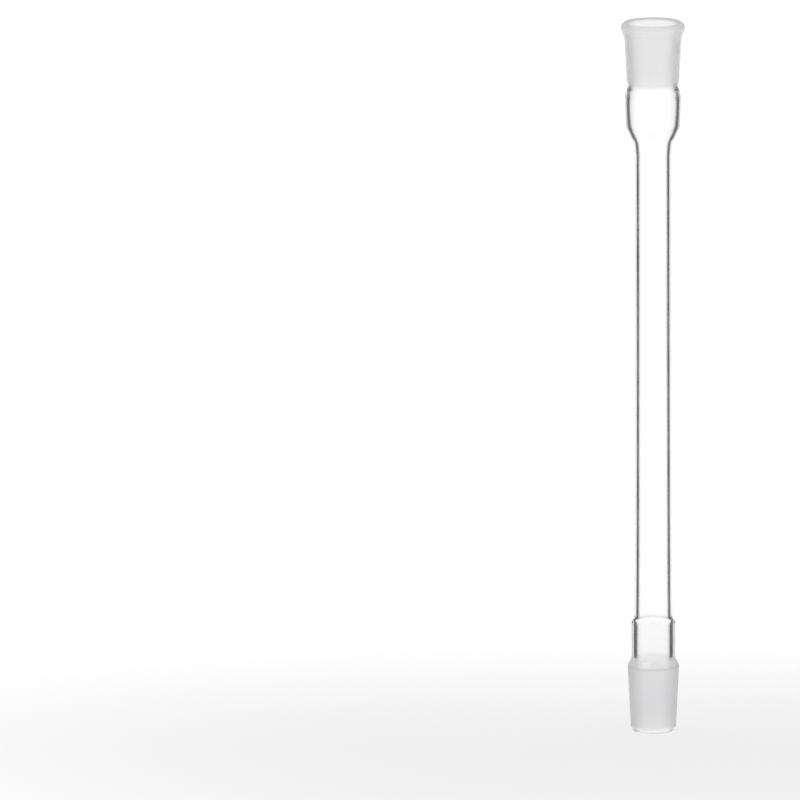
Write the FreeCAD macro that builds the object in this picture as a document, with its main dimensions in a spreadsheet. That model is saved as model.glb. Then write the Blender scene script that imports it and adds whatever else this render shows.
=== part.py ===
import FreeCAD, Part
import Sketcher
import math
import os

# Air condenser: a plain glass tube with a 24/29 ground cone below and a matching ground socket above.
# It is blown and drawn as one piece of borosilicate glass, so it is one body, open from end to end.
# Millimetres. +Z runs up the axis from the tip of the cone, and the origin is the middle of that tip.

# Driving sizes: name, value, what it measures
SIZES = [
    ("joint_large_dia", 24.0, "ground joint, diameter at its large end"),
    ("joint_length", 29.0, "ground joint, length of the ground zone"),
    ("joint_taper", 0.1, "ground joint, diameter lost for each millimetre of length"),
    ("tip_height", 2.0, "fire-polished tip below the ground zone of the cone"),
    ("tip_inset", 0.95, "how far the tip's foot stands in from the small end of the cone"),
    ("tip_wall", 1.3, "wall of the tip at its foot"),
    ("tip_edge_round", 0.5, "fire-polished outer edge of the tip"),
    ("tip_bevel", 0.4, "bevel inside the tip"),
    ("tip_brow_round", 1.2, "bend between the tip and the ground zone"),
    ("cone_wall", 1.8, "wall of the cone"),
    ("shoulder_height", 4.0, "slope from the cone in to the collar"),
    ("shoulder_round", 5.0, "hollow bend between the slope and the collar"),
    ("collar_dia", 20.2, "outside of the collar above the cone"),
    ("collar_wall", 1.5, "wall of the collar"),
    ("collar_length", 16.4, "collar, from the slope to the step"),
    ("step_height", 1.8, "step from the collar in to the tube"),
    ("step_brow_round", 1.0, "bend where the collar turns into the step"),
    ("step_hollow_round", 4.0, "hollow bend between the step and the tube"),
    ("step_run_out", 1.6, "straight wall between the step and the drawn tube"),
    ("tube_dia", 17.0, "outside of the condenser tube"),
    ("tube_wall", 1.3, "wall of the condenser tube"),
    ("tube_length", 215.7, "condenser tube between its two worked ends"),
    ("flare_run_in", 8.6, "from the tube's end to the bend where the wall opens"),
    ("flare_round", 14.5, "hollow bend between the tube and the flare"),
    ("flare_height", 6.8, "flare, from that bend to the cheek of the bulb"),
    ("bulb_cheek_swell", 0.85, "how far the lower cheek of the bulb stands out past the neck"),
    ("bulb_cheek_round", 6.0, "bend at the lower cheek"),
    ("bulb_rise", 11.5, "from the cheek up to the widest level of the bulb"),
    ("bulb_belly_swell", 1.3, "how far the widest level of the bulb stands out past the neck"),
    ("bulb_belly_round", 60.0, "barrel curve at the widest level"),
    ("bulb_crown_height", 4.6, "from the widest level up to the crown"),
    ("bulb_crown_swell", 1.15, "how far the crown of the bulb stands out past the neck"),
    ("bulb_crown_round", 3.0, "bend at the crown"),
    ("bulb_wall", 1.3, "wall of the bulb"),
    ("bulb_crown_fill", 1.2, "how far the inside of the crown stands below its outside, where glass gathers"),
    ("neck_height", 4.0, "from the crown up to the neck"),
    ("neck_bore_height", 2.4, "plain bore below the socket's ground zone"),
    ("neck_wall", 1.1, "wall of the neck around the small end of the socket's bore"),
    ("neck_round", 1.0, "crease of the neck"),
    ("socket_foot_height", 1.3, "from the neck up to the foot of the socket's wall"),
    ("socket_foot_round", 1.6, "bend at the foot of the socket's wall"),
    ("socket_wall", 1.6, "wall of the socket around the ground zone"),
    ("lip_width", 2.8, "flared lip, from the mouth of the bore out to its widest band"),
    ("lip_band", 3.8, "from the under-edge of the lip up to the mouth"),
    ("lip_flare_height", 3.4, "flare from the socket's wall out to the lip"),
    ("lip_flare_round", 13.0, "hollow bend under the lip"),
    ("lip_under_round", 1.0, "under-edge of the lip"),
    ("lip_top_round", 2.2, "fire-polished outer edge of the mouth"),
    ("mouth_bevel", 0.4, "bevel on the inner edge of the mouth"),
    ("bend_lag", 0.4, "how far the inside of a bend lags its outside, which keeps the wall even"),
]


class Length:
    """A length as a number and as its formula in the sheet, so that both come from one expression."""

    def __init__(self, value, formula):
        self.value = float(value)
        self.formula = formula

    @staticmethod
    def of(other):
        return other if isinstance(other, Length) else Length(other, repr(float(other)))

    def __add__(self, other):
        other = Length.of(other)
        return Length(self.value + other.value, f"({self.formula} + {other.formula})")

    def __sub__(self, other):
        other = Length.of(other)
        return Length(self.value - other.value, f"({self.formula} - {other.formula})")

    def __mul__(self, other):
        other = Length.of(other)
        return Length(self.value * other.value, f"{self.formula} * {other.formula}")

    def __truediv__(self, other):
        other = Length.of(other)
        return Length(self.value / other.value, f"{self.formula} / {other.formula}")


ZERO = Length(0.0, "0.0")


def make_sheet(doc):
    """Write the driving sizes into the sheet and return them by name."""
    sheet = doc.addObject("Spreadsheet::Sheet", "Sizes")
    lengths = {}
    for row, (name, value, meaning) in enumerate(SIZES, start=1):
        sheet.set(f"A{row}", str(value))
        sheet.setAlias(f"A{row}", name)
        sheet.set(f"B{row}", meaning)
        lengths[name] = Length(value, f"Sizes.{name}")
    doc.recompute()
    return lengths


def new_sketch(body, name, role, level):
    """A sketch on one of the body's own planes, lifted along the axis of the condenser to a level."""
    sketch = body.newObject("Sketcher::SketchObject", name)
    plane = next(item for item in body.Origin.OriginFeatures if item.Role == role)
    sketch.AttachmentSupport = [(plane, "")]
    sketch.MapMode = "FlatFace"
    up = "z" if role == "XY_Plane" else "y"
    sketch.setExpression(f"AttachmentOffset.Base.{up}", level.formula)
    return sketch


def bind(sketch, length, kind, *where):
    """Add a constraint whose value is a formula of the sheet."""
    index = sketch.addConstraint(Sketcher.Constraint(kind, *where, length.value))
    sketch.setExpression(f"Constraints[{index}]", length.formula)


def bend_at(points, index, rounding):
    """Where the arc of a corner leaves one wall and joins the next, and the arc's centre."""
    here = points[index]
    if rounding is None:
        return here, here, None
    back = (points[index - 1] - here).normalize()
    ahead = (points[(index + 1) % len(points)] - here).normalize()
    half_angle = back.getAngle(ahead) / 2
    reach = rounding.value / math.tan(half_angle)
    middle = (back + ahead).normalize()
    centre = here + middle * (rounding.value / math.sin(half_angle))
    return here + back * reach, here + ahead * reach, centre


def draw_bend(sketch, wall_in, wall_out, bend, rounding):
    """Draw the arc of a corner, tangent to the wall before it and to the wall after it."""
    first, last, centre = bend
    turns_left = (first - centre).cross(last - centre).z > 0
    start, end = (first, last) if turns_left else (last, first)
    angles = [math.atan2(point.y - centre.y, point.x - centre.x) for point in (start, end)]
    circle = Part.Circle(centre, FreeCAD.Vector(0, 0, 1), rounding.value)
    arc = sketch.addGeometry(Part.ArcOfCircle(circle, *angles))
    near, far = (1, 2) if turns_left else (2, 1)
    sketch.addConstraint(Sketcher.Constraint("Tangent", wall_in, 2, arc, near))
    sketch.addConstraint(Sketcher.Constraint("Tangent", arc, far, wall_out, 1))
    bind(sketch, rounding, "Radius", arc)


def draw_outline(sketch, corners):
    """Draw a closed outline through corners of (radius, height, rounding).

    Each corner is set by its radius and height. A corner with a rounding is kept as a construction
    point on both of its walls, and its arc is tangent to them.
    """
    points = [FreeCAD.Vector(radius.value, height.value, 0) for radius, height, _ in corners]
    bends = [bend_at(points, index, corner[2]) for index, corner in enumerate(corners)]
    walls = []
    for index, (_, start, _) in enumerate(bends):
        end = bends[(index + 1) % len(bends)][0]
        walls.append(sketch.addGeometry(Part.LineSegment(start, end)))
    for index, (radius, height, rounding) in enumerate(corners):
        wall_in, wall_out = walls[index - 1], walls[index]
        if rounding is None:
            sketch.addConstraint(Sketcher.Constraint("Coincident", wall_in, 2, wall_out, 1))
            corner = wall_out
        else:
            draw_bend(sketch, wall_in, wall_out, bends[index], rounding)
            corner = sketch.addGeometry(Part.Point(points[index]), True)
            sketch.addConstraint(Sketcher.Constraint("PointOnObject", corner, 1, wall_in))
            sketch.addConstraint(Sketcher.Constraint("PointOnObject", corner, 1, wall_out))
        bind(sketch, radius, "DistanceX", -1, 1, corner, 1)
        bind(sketch, height, "DistanceY", -1, 1, corner, 1)


def revolve(body, name, level, corners):
    """Draw a profile on a plane through the axis and turn it once around that axis."""
    sketch = new_sketch(body, f"{name}_profile", "XZ_Plane", level)
    draw_outline(sketch, corners)
    turned = body.newObject("PartDesign::Revolution", name)
    turned.Profile = sketch
    turned.ReferenceAxis = (sketch, ["V_Axis"])
    turned.Refine = True
    sketch.Visibility = False


def make_cone_end(body, size):
    """Tip, ground cone, slope, collar and step in to the tube. Returns the level of the drawn tube."""
    large = size["joint_large_dia"] / 2
    small = large - size["joint_length"] * size["joint_taper"] / 2
    collar = size["collar_dia"] / 2
    collar_bore = collar - size["collar_wall"]
    tube = size["tube_dia"] / 2
    tube_bore = tube - size["tube_wall"]
    ground_low = size["tip_height"]
    ground_high = ground_low + size["joint_length"]
    collar_low = ground_high + size["shoulder_height"]
    collar_high = collar_low + size["collar_length"]
    step_high = collar_high + size["step_height"]
    top = step_high + size["step_run_out"]
    lag = size["bend_lag"]
    tip = small - size["tip_inset"]
    tip_bore = tip - size["tip_wall"]
    outside = [
        (tip, ZERO, size["tip_edge_round"]),
        (small, ground_low, size["tip_brow_round"]),
        (large, ground_high, None),
        (collar, collar_low, size["shoulder_round"]),
        (collar, collar_high, size["step_brow_round"]),
        (tube, step_high, size["step_hollow_round"]),
        (tube, top, None),
    ]
    inside = [
        (tube_bore, top, None),
        (tube_bore, step_high - lag, size["step_hollow_round"] + size["tube_wall"]),
        (collar_bore, collar_high - lag, None),
        (collar_bore, collar_low - lag, size["shoulder_round"] + size["collar_wall"]),
        (large - size["cone_wall"], ground_high - lag, None),
        (small - size["cone_wall"], ground_low, None),
        (tip_bore, size["tip_bevel"], None),
        (tip_bore + size["tip_bevel"], ZERO, None),
    ]
    revolve(body, "cone_end", ZERO, outside + inside)
    return top


def make_tube(body, size, level):
    """The drawn tube: two circles raised to its length. Returns the level of its upper end."""
    sketch = new_sketch(body, "tube_section", "XY_Plane", level)
    outside = size["tube_dia"] / 2
    for radius in (outside, outside - size["tube_wall"]):
        circle = Part.Circle(FreeCAD.Vector(0, 0, 0), FreeCAD.Vector(0, 0, 1), radius.value)
        ring = sketch.addGeometry(circle)
        sketch.addConstraint(Sketcher.Constraint("Coincident", ring, 3, -1, 1))
        bind(sketch, radius, "Radius", ring)
    tube = body.newObject("PartDesign::Pad", "drawn_tube")
    tube.Profile = sketch
    tube.setExpression("Length", size["tube_length"].formula)
    tube.Refine = True
    sketch.Visibility = False
    return level + size["tube_length"]


def make_socket_end(body, size, level):
    """Flare, expansion bulb, neck and ground socket with its flared lip. Returns the mouth's level."""
    tube = size["tube_dia"] / 2
    tube_bore = tube - size["tube_wall"]
    large = size["joint_large_dia"] / 2
    small = large - size["joint_length"] * size["joint_taper"] / 2
    lip = large + size["lip_width"]
    neck = small + size["neck_wall"]
    crown = neck + size["bulb_crown_swell"]
    belly = neck + size["bulb_belly_swell"]
    cheek = neck + size["bulb_cheek_swell"]
    flare = size["flare_run_in"]
    cheek_level = flare + size["flare_height"]
    belly_level = cheek_level + size["bulb_rise"]
    crown_level = belly_level + size["bulb_crown_height"]
    neck_level = crown_level + size["neck_height"]
    foot_level = neck_level + size["socket_foot_height"]
    mouth = neck_level + size["joint_length"]
    lip_level = mouth - size["lip_band"]
    lip_flare_level = lip_level - size["lip_flare_height"]
    # The outside of the socket runs beside its ground taper, a wall away from it.
    foot = small + size["socket_foot_height"] * size["joint_taper"] / 2 + size["socket_wall"]
    brim = large - (mouth - lip_flare_level) * size["joint_taper"] / 2 + size["socket_wall"]
    lag = size["bend_lag"]
    wall = size["bulb_wall"]
    outside = [
        (tube, ZERO, None),
        (tube, flare, size["flare_round"]),
        (cheek, cheek_level, size["bulb_cheek_round"]),
        (belly, belly_level, size["bulb_belly_round"]),
        (crown, crown_level, size["bulb_crown_round"]),
        (neck, neck_level, size["neck_round"]),
        (foot, foot_level, size["socket_foot_round"]),
        (brim, lip_flare_level, size["lip_flare_round"]),
        (lip, lip_level, size["lip_under_round"]),
        (lip, mouth, size["lip_top_round"]),
    ]
    inside = [
        (large + size["mouth_bevel"], mouth, None),
        (large - size["mouth_bevel"] * size["joint_taper"] / 2, mouth - size["mouth_bevel"], None),
        (small, neck_level, None),
        (small, neck_level - size["neck_bore_height"], None),
        (crown - wall, crown_level - size["bulb_crown_fill"], None),
        (belly - wall, belly_level, size["bulb_belly_round"] - wall),
        (cheek - wall, cheek_level + lag, size["bulb_cheek_round"] - wall),
        (tube_bore, flare + lag, size["flare_round"] + size["tube_wall"]),
        (tube_bore, ZERO, None),
    ]
    revolve(body, "socket_end", level, outside + inside)
    return level + mouth


def check(doc, body):
    """Stop unless every object was rebuilt, every sketch is fully set and the glass is one sound solid."""
    for item in doc.Objects:
        if "Invalid" in item.State or "Error" in item.State:
            raise RuntimeError(f"{item.Name} failed: {item.State}")
        if item.TypeId == "Sketcher::SketchObject" and not item.FullyConstrained:
            raise RuntimeError(f"{item.Name} is not fully set by its sizes")
    shape = body.Shape
    if shape.isNull() or not shape.isValid() or len(shape.Solids) != 1:
        raise RuntimeError(f"{body.Label} is not one valid solid")


def main():
    doc = FreeCAD.newDocument("air_condenser")
    size = make_sheet(doc)
    body = doc.addObject("PartDesign::Body", "condenser_glass")
    body.Label = "condenser_glass"
    body.Placement = FreeCAD.Placement()
    tube_low = make_cone_end(body, size)
    tube_high = make_tube(body, size, tube_low)
    mouth = make_socket_end(body, size, tube_high)
    doc.recompute()
    check(doc, body)

    os.makedirs("parts", exist_ok=True)
    body.Shape.exportStep(f"parts/{body.Label}.step")
    print(f"{body.Label}: {len(body.Shape.Faces)} faces, {body.Shape.Volume:.1f} mm3 of glass")
    print(f"drawn tube from {tube_low.value:.2f} to {tube_high.value:.2f} mm, mouth at {mouth.value:.2f} mm")


main()
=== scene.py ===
# %% [markdown]
# # An air condenser in borosilicate glass
#
# The object is a plain glass tube with a ground cone below and a ground socket above. Vapour rises in it, gives
# its heat to the room and runs back as liquid. It is blown and drawn as one piece, so the scene has one piece too.
# The CAD model gives its sizes. This lesson turns the same outline into a finer surface and finishes the glass.

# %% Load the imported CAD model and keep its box
import math

import bpy
import numpy as np
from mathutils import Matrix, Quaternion, Vector


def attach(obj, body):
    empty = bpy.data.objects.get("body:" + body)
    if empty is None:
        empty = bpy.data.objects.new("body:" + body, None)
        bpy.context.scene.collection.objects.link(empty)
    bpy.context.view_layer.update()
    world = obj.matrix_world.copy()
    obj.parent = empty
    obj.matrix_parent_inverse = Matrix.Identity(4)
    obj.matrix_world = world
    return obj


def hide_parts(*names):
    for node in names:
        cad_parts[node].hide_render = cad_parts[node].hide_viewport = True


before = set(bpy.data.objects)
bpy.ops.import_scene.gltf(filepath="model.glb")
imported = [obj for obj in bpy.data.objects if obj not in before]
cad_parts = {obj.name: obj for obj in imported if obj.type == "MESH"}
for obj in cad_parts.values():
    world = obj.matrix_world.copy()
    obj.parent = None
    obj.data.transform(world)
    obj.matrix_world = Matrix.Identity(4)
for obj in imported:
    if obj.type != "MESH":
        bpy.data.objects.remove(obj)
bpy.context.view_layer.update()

# %% [markdown]
# ## The outline of the glass
#
# A glassblower turns the work in a lathe, so every level is a circle and the whole form is in one outline: up the
# outside, over the mouth and back down the bore. The CAD node could be shown as it is, but its facets would catch
# the light. A finer surface from the same corners bends light smoothly. Corners that the CAD model leaves sharp get
# a rounding of a few tenths of a millimetre, as a flame or a grinding tool leaves them. The blower's hand shows
# too: the tube swells a third of a millimetre towards the collar, the flare starts to open a little early, and the
# crown is drawn in closely under the socket. All of that stays under a millimetre, so only this surface has it.

# %% Radii of the condenser in millimetres
large = 24.0 / 2                    # ground joint at its large end
taper = 0.1 / 2                     # radius lost for each millimetre of the joint
joint_length = 29.0
small = large - joint_length * taper
tube, tube_bore = 17.0 / 2, 14.4 / 2
collar, collar_bore = 20.2 / 2, 17.2 / 2
cone_wall, socket_wall, neck_wall = 1.8, 1.6, 1.1
neck = small + neck_wall
lip = large + 2.8
print(f"joint: {2 * large:.1f} mm across at its large end, {2 * small:.1f} mm at its small end")

# %% Levels from the tip up to the mouth
tip_high = 2.0
cone_high = tip_high + joint_length
shoulder_height, collar_length, step_height = 4.0, 16.4, 1.8
collar_high = cone_high + shoulder_height + collar_length
tube_low = collar_high + step_height
run_out, tube_length, run_in = 1.6, 215.7, 8.6
flare_low = tube_low + run_out + tube_length + run_in
cheek_level = flare_low + 6.8
belly_level = cheek_level + 11.5
crown_level = belly_level + 4.6
neck_level = crown_level + 4.0
mouth = neck_level + joint_length
print(f"levels: cone to {cone_high:.1f}, flare from {flare_low:.1f}, neck {neck_level:.1f}, mouth {mouth:.1f} mm")

# %% [markdown]
# Each corner is written as its radius, its height and the rounding that it gets. A large rounding on a nearly
# straight stretch makes a long soft curve of it, as on the belly of the bulb.

# %% Corners of the outside, from the tip up to the mouth
foot_height, brim_depth = 1.3, 7.2  # where the socket's straight wall starts and ends
outside = [
    (small - 0.95, 0.0, 0.5),                                               # foot of the tip
    (small, tip_high, 1.2),                                                 # small end of the cone
    (large, cone_high - 0.2, 0.5),                                          # large end of the cone
    (collar + 0.05, cone_high + 3.3, 3.0),                                  # shoulder meets the collar
    (collar + 0.15, collar_high, 1.6),                                      # top of the collar
    (tube + 0.35, tube_low, 2.5),                                           # step meets the tube
    (tube + 0.2, 66.0, 60.0),                                               # swell of the tube
    (tube, 130.0, 60.0),
    (tube, flare_low - 7.2, 8.0),                                           # tube starts to open
    (tube + 0.72, flare_low - 0.2, 8.0),                                    # flare
    (neck + 0.85, cheek_level, 6.0),                                        # cheek of the bulb
    (neck + 1.3, belly_level, 60.0),                                        # belly
    (neck + 1.2, crown_level - 0.6, 3.5),                                   # crown
    (neck - 0.33, neck_level - 0.8, 2.4),                                   # crease
    (small + foot_height * taper + socket_wall, neck_level + foot_height, 1.6),
    (large - brim_depth * taper + socket_wall, mouth - brim_depth, 13.0),   # wall turns out to the lip
    (lip, mouth - 3.6, 1.4),                                                # under-edge of the lip
    (lip, mouth - 1.7, 1.6),
    (lip - 1.5, mouth, 1.3),                                                # rim
]
print(f"outside: {len(outside)} corners")

# %% Corners of the bore, from the mouth back down to the tip
crisp = 0.12                        # rounding left on a ground edge
soft = 0.35                         # rounding left on a worked edge
lag = 0.4                           # how far the inside of a bend lags its outside
inside = [
    (large + 0.4, mouth, crisp),                                            # bevel of the mouth
    (large - 0.4 * taper, mouth - 0.4, crisp),
    (small, neck_level, soft),                                              # small end of the socket
    (small - 0.15, neck_level - 1.4, 0.8),
    (small - 0.1, neck_level - 2.8, 1.5),
    (neck - 0.15, crown_level - 2.8, 2.5),                                  # inside of the crown
    (neck, belly_level - 1.0, 20.0),
    (neck - 0.42, cheek_level + lag, 4.7),
    (tube_bore + 0.65, flare_low - 0.2 + lag, 9.0),                         # inside of the flare
    (tube_bore + 0.06, flare_low - 7.2 + lag, 9.0),
    (tube_bore + 0.06, 190.0, 60.0),                                        # bore of the tube
    (tube_bore + 0.15, 110.0, 60.0),
    (tube_bore + 0.3, 66.0, 60.0),
    (tube_bore + 0.42, tube_low - lag, 3.5),
    (collar_bore, collar_high - lag, 1.4),                                  # inside of the collar
    (collar_bore, cone_high + 3.3 - lag, 4.5),
    (large - cone_wall, cone_high - lag, 1.5),                              # inside of the cone
    (small - cone_wall, tip_high, 1.5),
    (small - 2.25, 0.4, crisp),                                             # bevel of the tip
    (small - 1.85, 0.0, crisp),
]
print(f"bore: {len(inside)} corners, {2 * tube_bore:.1f} mm across in the tube")

# %% [markdown]
# A rounded corner is an arc that touches both walls. Its centre lies on the line that halves the corner, at the
# rounding divided by the sine of the half angle, and the arc starts at the rounding divided by the tangent of it.
# The smooth shading of a long wall would be pulled askew by the arc beside it, so each wall also gets a row of
# points a short way from both of its ends.

# %% Round the corners and space the rows
def arc_at(before, corner, after, rounding, step=math.radians(5)):
    """Points of the arc: centre + rounding * (cos a, sin a), with a turning from wall to wall in equal steps."""
    back = (before - corner) / np.linalg.norm(before - corner)
    ahead = (after - corner) / np.linalg.norm(after - corner)
    half = math.acos(np.clip(back @ ahead, -1, 1)) / 2
    middle = (back + ahead) / np.linalg.norm(back + ahead)
    centre = corner + middle * rounding / math.sin(half)
    first = corner + back * rounding / math.tan(half) - centre
    turn = math.copysign(math.pi - 2 * half, back[1] * ahead[0] - back[0] * ahead[1])
    count = max(4, round(abs(turn) / step))
    angles = math.atan2(first[1], first[0]) + np.linspace(0, turn, count + 1)
    return centre + rounding * np.stack([np.cos(angles), np.sin(angles)], axis=1)


def wall_between(start, end, margin=0.25, longest=6.0):
    """Points on the wall: start + t * (end - start), with t close to 0 and 1 and in even steps between."""
    length = np.linalg.norm(end - start)
    edge = min(margin / length, 0.25)
    shares = np.linspace(edge, 1 - edge, max(2, math.ceil(length / longest) + 1))
    return start + shares[:, None] * (end - start)


def outline_rows(corners):
    """All rows of the closed outline, arc after wall after arc, as radius and height."""
    points = np.array([corner[:2] for corner in corners], float)
    arcs = [arc_at(points[i - 1], points[i], points[(i + 1) % len(points)], corner[2])
            for i, corner in enumerate(corners)]
    rows = []
    for arc, following in zip(arcs, arcs[1:] + arcs[:1]):
        rows += [arc, wall_between(arc[-1], following[0])]
    return np.concatenate(rows)


outline = outline_rows(outside + inside)
radius_at, height_at = outline.T
print(f"outline: {len(outline)} rows")

# %% [markdown]
# ## Turning the outline into glass
#
# The surface has two parameters: the turn around the axis and the place along the outline. A point is radius times
# the cosine and the sine of the turn, with the height as it is. Both parameters close on themselves, so the mesh
# has no seam and no pole, and it encloses exactly the glass of the wall.

# %% Turn the outline around the axis
MM = 0.001                          # metres in a millimetre
TURNS = 168                         # steps around the axis


def turned(rows, turns):
    """Grid of points: (radius * cos turn, radius * sin turn, height), rows by turns."""
    turn = np.arange(turns) * 2 * math.pi / turns
    radius, height = rows[:, :1], rows[:, 1:]
    return np.stack([radius * np.cos(turn), radius * np.sin(turn), height + 0 * turn], axis=2)


def closed_quads(rows, turns):
    """Four corners of each face of a grid that closes both ways, running counter-clockwise seen from outside."""
    row, turn = np.meshgrid(np.arange(rows), np.arange(turns), indexing="ij")
    next_row, next_turn = (row + 1) % rows, (turn + 1) % turns
    corners = [row * turns + turn, row * turns + next_turn, next_row * turns + next_turn, next_row * turns + turn]
    return np.stack(corners, axis=2).reshape(-1, 4)


def mesh_from(name, points, quads):
    """A smooth mesh object from arrays of points in metres and of quads."""
    mesh = bpy.data.meshes.new(name)
    mesh.from_pydata(points.reshape(-1, 3), [], quads)
    mesh.polygons.foreach_set("use_smooth", np.ones(len(quads), bool))
    mesh.update()
    made = bpy.data.objects.new(name, mesh)
    bpy.context.scene.collection.objects.link(made)
    return made


points = turned(outline, TURNS) * MM
quads = closed_quads(len(outline), TURNS)
condenser = mesh_from("condenser_body", points, quads)
print(f"condenser: {len(condenser.data.vertices)} points, {2 * len(quads)} triangles")

# %% Measure the glass in it
def volume_of(points, quads):
    """Enclosed volume: the sum over triangles of a . (b x c) / 6, positive if the faces point outwards."""
    corners = points.reshape(-1, 3)[quads]
    a, b, c, d = (corners[:, i] for i in range(4))
    return float((np.einsum("ij,ij->i", a, np.cross(b, c)) + np.einsum("ij,ij->i", a, np.cross(c, d))).sum() / 6)


print(f"glass in the surface: {volume_of(points, quads) / MM ** 3:.0f} mm3")

# %% Ride on the frame in place of the CAD node
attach(condenser, "root")
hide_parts("condenser_glass")

# %% [markdown]
# ## How thick the wall is at each level
#
# Clear glass on a pale table shows itself by one dark line a side, which stands where the line of sight grazes the
# bore. The finish paints that line into the glass's colour as painted shade. To place it, the finish has to know how
# wide the bore is against the outside at each level. A mesh can't know who looks at it, so the bore is measured
# where a line of sight arrives that runs down by 10 degrees, as it does for somebody who stands at the bench. A wall
# that leans bends it further down. The share goes into an attribute. Outside and bore also get a material slot
# each, because only one of them is ground at either end.

# %% Tell the outside from the bore
rim_row = int(np.argmax(height_at >= mouth - 1e-6))
split = next(row for row in range(rim_row, len(outline)) if radius_at[row] <= large + 1.0)
slot_of_row = (np.arange(len(outline)) >= split).astype(np.int32)
print(f"outside ends at row {split}, radius {radius_at[split]:.2f} mm")

# %% Write the bore's share of the radius into an attribute
look_down, steepest = math.radians(10), 0.7
kept_lean = 0.4                     # how much of the wall's own lean is added to the line of sight
grazed = 0.85                       # share of the radius at which a line of sight grazes the bore

along = np.roll(outline, -1, axis=0) - np.roll(outline, 1, axis=0)
lean = np.arcsin(-along[:, 0] / np.hypot(*along.T))
through_wall = radius_at * math.sqrt(1 - grazed ** 2)
met_at = height_at - through_wall * np.tan(np.clip(look_down + kept_lean * lean, 0, steepest))
bore_rows = outline[split:][::-1]
bore_here = np.interp(met_at, bore_rows[:, 1], bore_rows[:, 0])
bore_here[abs(height_at - cone_high - shoulder_height) < shoulder_height] = collar_bore
share = np.clip(bore_here / radius_at, 0, 1)
share[split:] = 1
layer = condenser.data.attributes.new("bore_share", "FLOAT", "POINT")
layer.data.foreach_set("value", np.repeat(share, TURNS).astype(np.float32))
print(f"bore share halfway up the tube: {share[np.argmin(abs(height_at[:split] - 160))]:.3f}")

# %% [markdown]
# ## Writing a finish as sums
#
# A Blender material is a graph of nodes. Written out link by link it hides the thought behind it, so a small class
# wraps a socket, and plus, minus, times and divide add the Math nodes. Another one makes every node in the same
# way: its type, its settings, and then a value or a link for each socket.

# %% A socket that can be calculated with
class Value:
    """The output of a node, as a number that Python's operators work on."""

    def __init__(self, finish, socket):
        self.finish, self.socket = finish, socket

    def math(self, operation, *others):
        inputs = dict(enumerate((self, *others)))
        return self.finish.node("ShaderNodeMath", {"operation": operation}, inputs)

    def __add__(self, other):
        return self.math("ADD", other)

    def __sub__(self, other):
        return self.math("SUBTRACT", other)

    def __rsub__(self, other):
        return (self * -1).math("ADD", other)

    def __mul__(self, other):
        return self.math("MULTIPLY", other)

    def __truediv__(self, other):
        return self.math("DIVIDE", other)

    __radd__, __rmul__ = __add__, __mul__

    def arcsine(self):
        return self.math("ARCSINE")

    def step(self, low, high):
        """0 below low, 1 above high, and a smooth rise between them."""
        return self.finish.node("ShaderNodeMapRange", {"interpolation_type": "SMOOTHSTEP"},
                                {"Value": self, "From Min": low, "From Max": high}, "Result")


# %% A material or a room under construction
class Finish:
    """The nodes of a material or of the room around."""

    def __init__(self, owner):
        owner.use_nodes = True
        self.owner, self.tree = owner, owner.node_tree
        self.tree.nodes.clear()

    def node(self, kind, settings=None, inputs=None, output=0):
        """Add a node: its settings first, then its sockets. Gives one of its outputs."""
        made = self.tree.nodes.new(kind)
        for setting, value in (settings or {}).items():
            setattr(made, setting, value)
        for name, value in (inputs or {}).items():
            if isinstance(value, Value):
                self.tree.links.new(value.socket, made.inputs[name])
            else:
                made.inputs[name].default_value = value
        return Value(self, made.outputs[output]) if len(made.outputs) else None

    def blend(self, share, first, second):
        """The first colour where share is 0, the second where it is 1, and a mixture between."""
        return self.node("ShaderNodeMix", {"data_type": "RGBA"}, {0: share, 6: first, 7: second}, 2)

    def noise(self, place, scale, detail):
        """A cloudy value around a half, with a given number of clouds to the metre."""
        return self.node("ShaderNodeTexNoise", {"noise_dimensions": "3D"},
                         {"Vector": place, "Scale": scale, "Detail": detail}, "Fac")


def grey(value, blue=0.0):
    """A neutral colour, or one with a touch more blue."""
    return (value, value, value + blue, 1)


# %% [markdown]
# ## Clear glass, and the painted dark line along the bore
#
# A line of sight that meets the tube off its middle is bent four times: into the glass, into the bore, and the same
# again on the way out. Where it grazes the bore the bends add up to nearly 50 degrees, and it looks past the pale
# table into the dark of the room. Everywhere else it stays near its course and sees the pale table. So the wall
# shows a dark line over the bore's edge, with clear glass on both sides of it. The room of a plain scene is pale all
# round, so the line is painted shade: the finish works out the bend and darkens the glass's colour by it, from the
# angle of view that Layer Weight gives.

# %% How far the wall bends a line of sight
IOR = 1.474                         # refractive index of borosilicate glass


def around(finish, place):
    """1 - cosine of the angle of view, taken in the round: against the line straight out from the axis."""
    flat = finish.node("ShaderNodeVectorMath", {"operation": "MULTIPLY"}, {0: place, 1: (1, 1, 0)})
    out = finish.node("ShaderNodeVectorMath", {"operation": "NORMALIZE"}, {0: flat})
    return finish.node("ShaderNodeLayerWeight", None, {"Blend": 0.5, "Normal": out}, "Facing")


def sideways_bend(finish, facing):
    """Bend in degrees: 2 * ((bore angle - its refraction) - (outer angle - its refraction)), and where it is.

    The sine of the outer angle is s. In the glass it is s / ior. At the bore the sines are s / share and
    s / (share * ior), and past the bore's edge the bore angle stays at 90 degrees, where light is thrown back.
    """
    upright = 1 - facing
    sine = (1 - upright * upright).math("MAXIMUM", 0).math("SQRT")
    bore = finish.node("ShaderNodeAttribute", {"attribute_name": "bore_share"}, None, "Fac")
    at_bore = sine / bore
    outer = sine.arcsine() - (sine / IOR).arcsine()
    inner = at_bore.math("MINIMUM", 1).arcsine() - (at_bore / IOR).math("MINIMUM", 1).arcsine()
    return (inner - outer) * (2 * 180 / math.pi), at_bore


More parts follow.
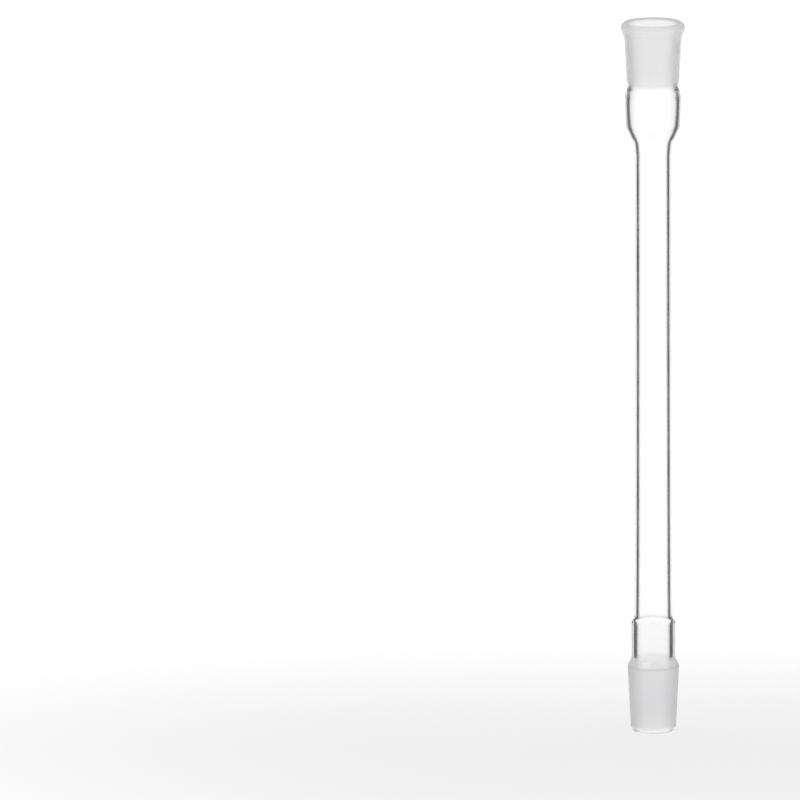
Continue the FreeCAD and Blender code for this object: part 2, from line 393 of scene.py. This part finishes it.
# %% [markdown]
# ## Ground glass
#
# The cone is ground on its outside and the socket on its inside, with fine carborundum. That leaves a matt white
# band with faint rings around the axis. Its edge is ragged by a few tenths of a millimetre, and inside the socket
# it fades out over the last few millimetres, where the grinding tool ends. The band is the same glass, so it is the
# same shader with a rough surface, a fine grain in its normals and a little less light let through.

# %% Start a finish for one side of the wall
def start_glass(name):
    """A new finish, the place on the condenser, its height in millimetres, and the same height made ragged."""
    finish = Finish(bpy.data.materials.new(name))
    place = finish.node("ShaderNodeTexCoord", output="Object")
    height = finish.node("ShaderNodeSeparateXYZ", None, {0: place}, "Z") / MM
    return finish, place, height, height + (finish.noise(place, 900.0, 3.0) - 0.5) * 0.5


def ground_zone(edge, low, high, fade):
    """1 between two heights, with a firm upper edge and a lower one that fades."""
    return edge.step(low - fade, low + 1.2) * (1 - edge.step(high - 0.15, high + 0.15))


# %% Complete the glass of one side
CLEAR = grey(0.997)


def complete_glass(finish, place, height, ground, haze, clear_tint, matt_tint):
    """Glass that goes from the clear tint to the matt tint, and from smooth to rough, where it is ground."""
    grain = finish.noise(place, 5200.0, 2.0)
    rings = finish.node("ShaderNodeTexNoise", {"noise_dimensions": "1D"},
                        {"W": height * 4.0, "Scale": 1.0, "Detail": 4.0}, "Fac")
    bump = finish.node("ShaderNodeBump", None, {
        "Strength": 0.35, "Distance": 0.05 * MM, "Height": (grain * 0.6 + rings * 0.4) * ground}, "Normal")
    glass = finish.node("ShaderNodeBsdfPrincipled", None, {
        "Base Color": finish.blend(ground, clear_tint, matt_tint),
        "Roughness": (ground + haze) * (0.46 + 0.12 * grain),
        "IOR": IOR, "Transmission Weight": 1.0, "Normal": bump})
    through = finish.node("ShaderNodeBsdfTransparent")
    in_shadow = finish.node("ShaderNodeLightPath", output="Is Shadow Ray")
    mixed = finish.node("ShaderNodeMixShader", None, {0: in_shadow * 0.9, 1: glass, 2: through})
    finish.node("ShaderNodeOutputMaterial", None, {"Surface": mixed})
    condenser.data.materials.append(finish.owner)
    print(f"{finish.owner.name}: {len(finish.tree.nodes)} nodes")


# %% [markdown]
# ## The outside of the wall
#
# The cone is ground up to its large end. The shoulder above it stays a little matt, and a darker ring marks where it
# begins. The tip, the lip and the crease under the socket were softened in the flame, so they get a light haze in
# place of a ground surface.

# %% Where the outside is ground or hazy
outer, place, height, edge = start_glass("outside_glass")
over_cone = edge.step(cone_high - 0.15, cone_high + 0.15)
on_shoulder = over_cone * (1 - height.step(cone_high + 1.4, cone_high + 4.6))
ground = ground_zone(edge, tip_high, cone_high, fade=1.2) + 0.85 * on_shoulder

on_lip = height.step(mouth - 3.4, mouth - 2.0)
on_tip = 1 - height.step(0.6, tip_high)
on_crease = height.step(neck_level - 3.6, neck_level - 2.4) * (1 - height.step(neck_level, neck_level + 1))
haze = on_lip + 0.5 * on_tip + 0.6 * on_crease
print(f"cone ground from {tip_high:.1f} to {cone_high:.1f} mm")

# %% [markdown]
# The painted line is at its full strength along the tube, the collar and the lower bulb. It ends on the matt
# shoulder, and it is weaker where the crown closes to the crease. No drawn wall is quite even, so the painted line's
# strength also wavers a little along its way. Past the line a pale grey veil of painted shade is left, for the part
# of the light that the edge of a tube throws back. It is painted stronger in the collar and the bulb, which are wider
# and were worked in the flame.

# %% The painted dark line and the painted veil
facing = around(outer, place)
bend, at_bore = sideways_bend(outer, facing)
dark = bend.step(9, 21.5) * (1 - at_bore.step(1.045, 1.07))
in_crown = height.step(crown_level - 3, crown_level + 1)
in_crease = height.step(neck_level - 2.8, neck_level - 1.2)
strength = 0.25 + 0.75 * height.step(cone_high + 3.6, cone_high + 5.2) - 0.3 * in_crown - 0.35 * in_crease
line = (0.76 + 0.24 * outer.noise(place, 70.0, 1.0)) * dark * strength

in_collar = height.step(cone_high + 1, cone_high + 4) * (1 - height.step(collar_high - 0.6, collar_high + 1))
in_bulb = height.step(flare_low + 2, cheek_level) * (1 - 0.8 * in_crease)
# a pale grey veil of painted shade past the line, stronger in the collar and the bulb
painted_veil = at_bore.step(0.6, 1.2) * (0.13 + 0.22 * in_collar + 0.28 * in_bulb) + 0.03 * in_collar
print(f"dark line and veil: {len(outer.tree.nodes)} nodes so far")

# %% [markdown]
# Light that crosses a rough or a clear surface is tinted by the root of the shader's colour, so the share of light
# that is left goes in squared. Around the socket the wall hides behind its own matt bore and needs no painted line,
# only a soft painted shade towards its edges. The matt band of the cone is painted darker towards its edges too.

# %% Put the outside together
left = (1 - line) * (1 - painted_veil)
wall = outer.blend(left * left, grey(0), CLEAR)
# painted shade around the socket: darker towards its edges
socket_painted_shade = outer.blend(facing.step(0.12, 0.5), CLEAR, grey(0.7))
clear_tint = outer.blend(height.step(neck_level + 0.2, neck_level + 2.2), wall, socket_painted_shade)

ring = edge.step(cone_high - 1.8, cone_high - 0.5) * (1 - edge.step(cone_high - 0.1, cone_high + 0.3))
# painted shade on the ground cone: darker towards its edges
matt_tint = outer.blend(facing.step(0.08, 0.19), grey(0.742, 0.005), grey(0.675, 0.005))
matt_tint = outer.blend(ring * 0.5, matt_tint, grey(0.5, 0.005))
complete_glass(outer, place, height, ground, haze, clear_tint, matt_tint)

# %% Put the bore together
bore, place, height, edge = start_glass("bore_glass")
ground = ground_zone(edge, neck_level, mouth + 1.0, fade=3.0)
# painted shade on the ground bore: darker towards its edges
matt_tint = bore.blend(around(bore, place).step(0.06, 0.45), grey(0.74), grey(0.7))
complete_glass(bore, place, height, ground, 0.0, CLEAR, matt_tint)
condenser.data.polygons.foreach_set("material_index", np.repeat(slot_of_row, TURNS))

# %% [markdown]
# ## Table, room and light
#
# The condenser stands on a plain pale table in a bright room. A wide square is the table. It is pale grey under the
# glass and in front of it, lighter behind it, and as bright as the room further out, so that no edge shows at the
# horizon. It gives off part of its light itself, which keeps it even. The room is white around and a shade greyer
# overhead, which gives the lip and the shoulders their form. Two large lamps light it from the front. They don't
# show as spots in the glass.

# %% Table
reach = 60.0
corners = np.array([(-reach, -reach, 0), (reach, -reach, 0), (reach, reach, 0), (-reach, reach, 0)])
table = mesh_from("table", corners, [(0, 1, 2, 3)])

paint = Finish(bpy.data.materials.new("pale_table"))
spot = paint.node("ShaderNodeTexCoord", output="Object")
away = paint.node("ShaderNodeVectorMath", {"operation": "LENGTH"}, {0: spot}, "Value")
behind = paint.node("ShaderNodeSeparateXYZ", None, {0: spot}, "Y")
near = paint.blend(behind.step(-0.06, 0.30), grey(0.765, 0.01), grey(0.96, 0.005))
lit = paint.node("ShaderNodeEmission", None, {"Color": paint.blend(away.step(0.1, 0.6), near, grey(1)),
                                              "Strength": 1.12})
painted = paint.node("ShaderNodeBsdfDiffuse", None, {"Color": grey(0.9)})
surface = paint.node("ShaderNodeMixShader", None, {0: 0.75, 1: painted, 2: lit})
paint.node("ShaderNodeOutputMaterial", None, {"Surface": surface})
table.data.materials.append(paint.owner)
print(f"table: {2 * reach:.0f} m wide")

# %% Room and lamps
scene = bpy.context.scene
room = Finish(bpy.data.worlds.new("room"))
scene.world = room.owner
direction = room.node("ShaderNodeTexCoord", output="Generated")
upward = room.node("ShaderNodeSeparateXYZ", None, {0: direction}, "Z")
shade = room.blend(upward.step(0.15, 0.9), grey(1), grey(0.7, 0.005))
sky = room.node("ShaderNodeBackground", None, {"Color": shade, "Strength": 1.0})
room.node("ShaderNodeOutputWorld", None, {"Surface": sky})
middle = Vector((0, 0, 0.17))


def lamp(name, place, size, watts):
    """A square lamp that faces the middle of the condenser."""
    light = bpy.data.lights.new(name, "AREA")
    light.size, light.energy = size, watts
    made = bpy.data.objects.new(name, light)
    made.location = place
    made.visible_glossy = False
    made.rotation_mode = "QUATERNION"
    made.rotation_quaternion = (middle - Vector(place)).to_track_quat("-Z", "Y")
    scene.collection.objects.link(made)


lamp("key_lamp", (-1.1, -1.0, 1.3), 0.9, 9)
lamp("fill_lamp", (1.3, -0.6, 0.9), 1.2, 4)
print("two lamps of 9 and 4 W")

# %% [markdown]
# ## Camera
#
# The mouth's ellipse is about a fifth as high as it is wide, so the camera looks down by 11 degrees. The two ends
# show the same angle, which takes a long lens from far away. One pixel is 0.465 mm at the condenser. The camera is
# also rolled by a small part of a degree, as a camera held by hand is, and the condenser itself stays upright.

# %% Camera
pixel = 0.465 * MM
across, down = 653.2, 731           # where the axis and the tip stand in the picture, in pixels
lens, sensor, frame_pixels = 1200.0, 36.0, 800
tilt, roll = math.radians(11), math.radians(-0.15)
distance = frame_pixels * pixel * lens / sensor
back = Vector((0, -math.cos(tilt), math.sin(tilt)))
beside = (across - frame_pixels / 2) * pixel
above = (down - frame_pixels / 2) * pixel / math.cos(tilt)

camera_data = bpy.data.cameras.new("camera")
camera_data.lens, camera_data.sensor_width = lens, sensor
camera_data.clip_start, camera_data.clip_end = 0.1, 60.0
camera = bpy.data.objects.new("camera", camera_data)
camera.location = Vector((-beside, 0, above)) + back * distance
camera.rotation_mode = "QUATERNION"
camera.rotation_quaternion = (-back).to_track_quat("-Z", "Y") @ Quaternion((0, 0, 1), roll)
scene.collection.objects.link(camera)
scene.camera = camera
print(f"camera {distance:.2f} m away")

scene.view_settings.view_transform = "Standard"
scene.cycles.use_denoising = True
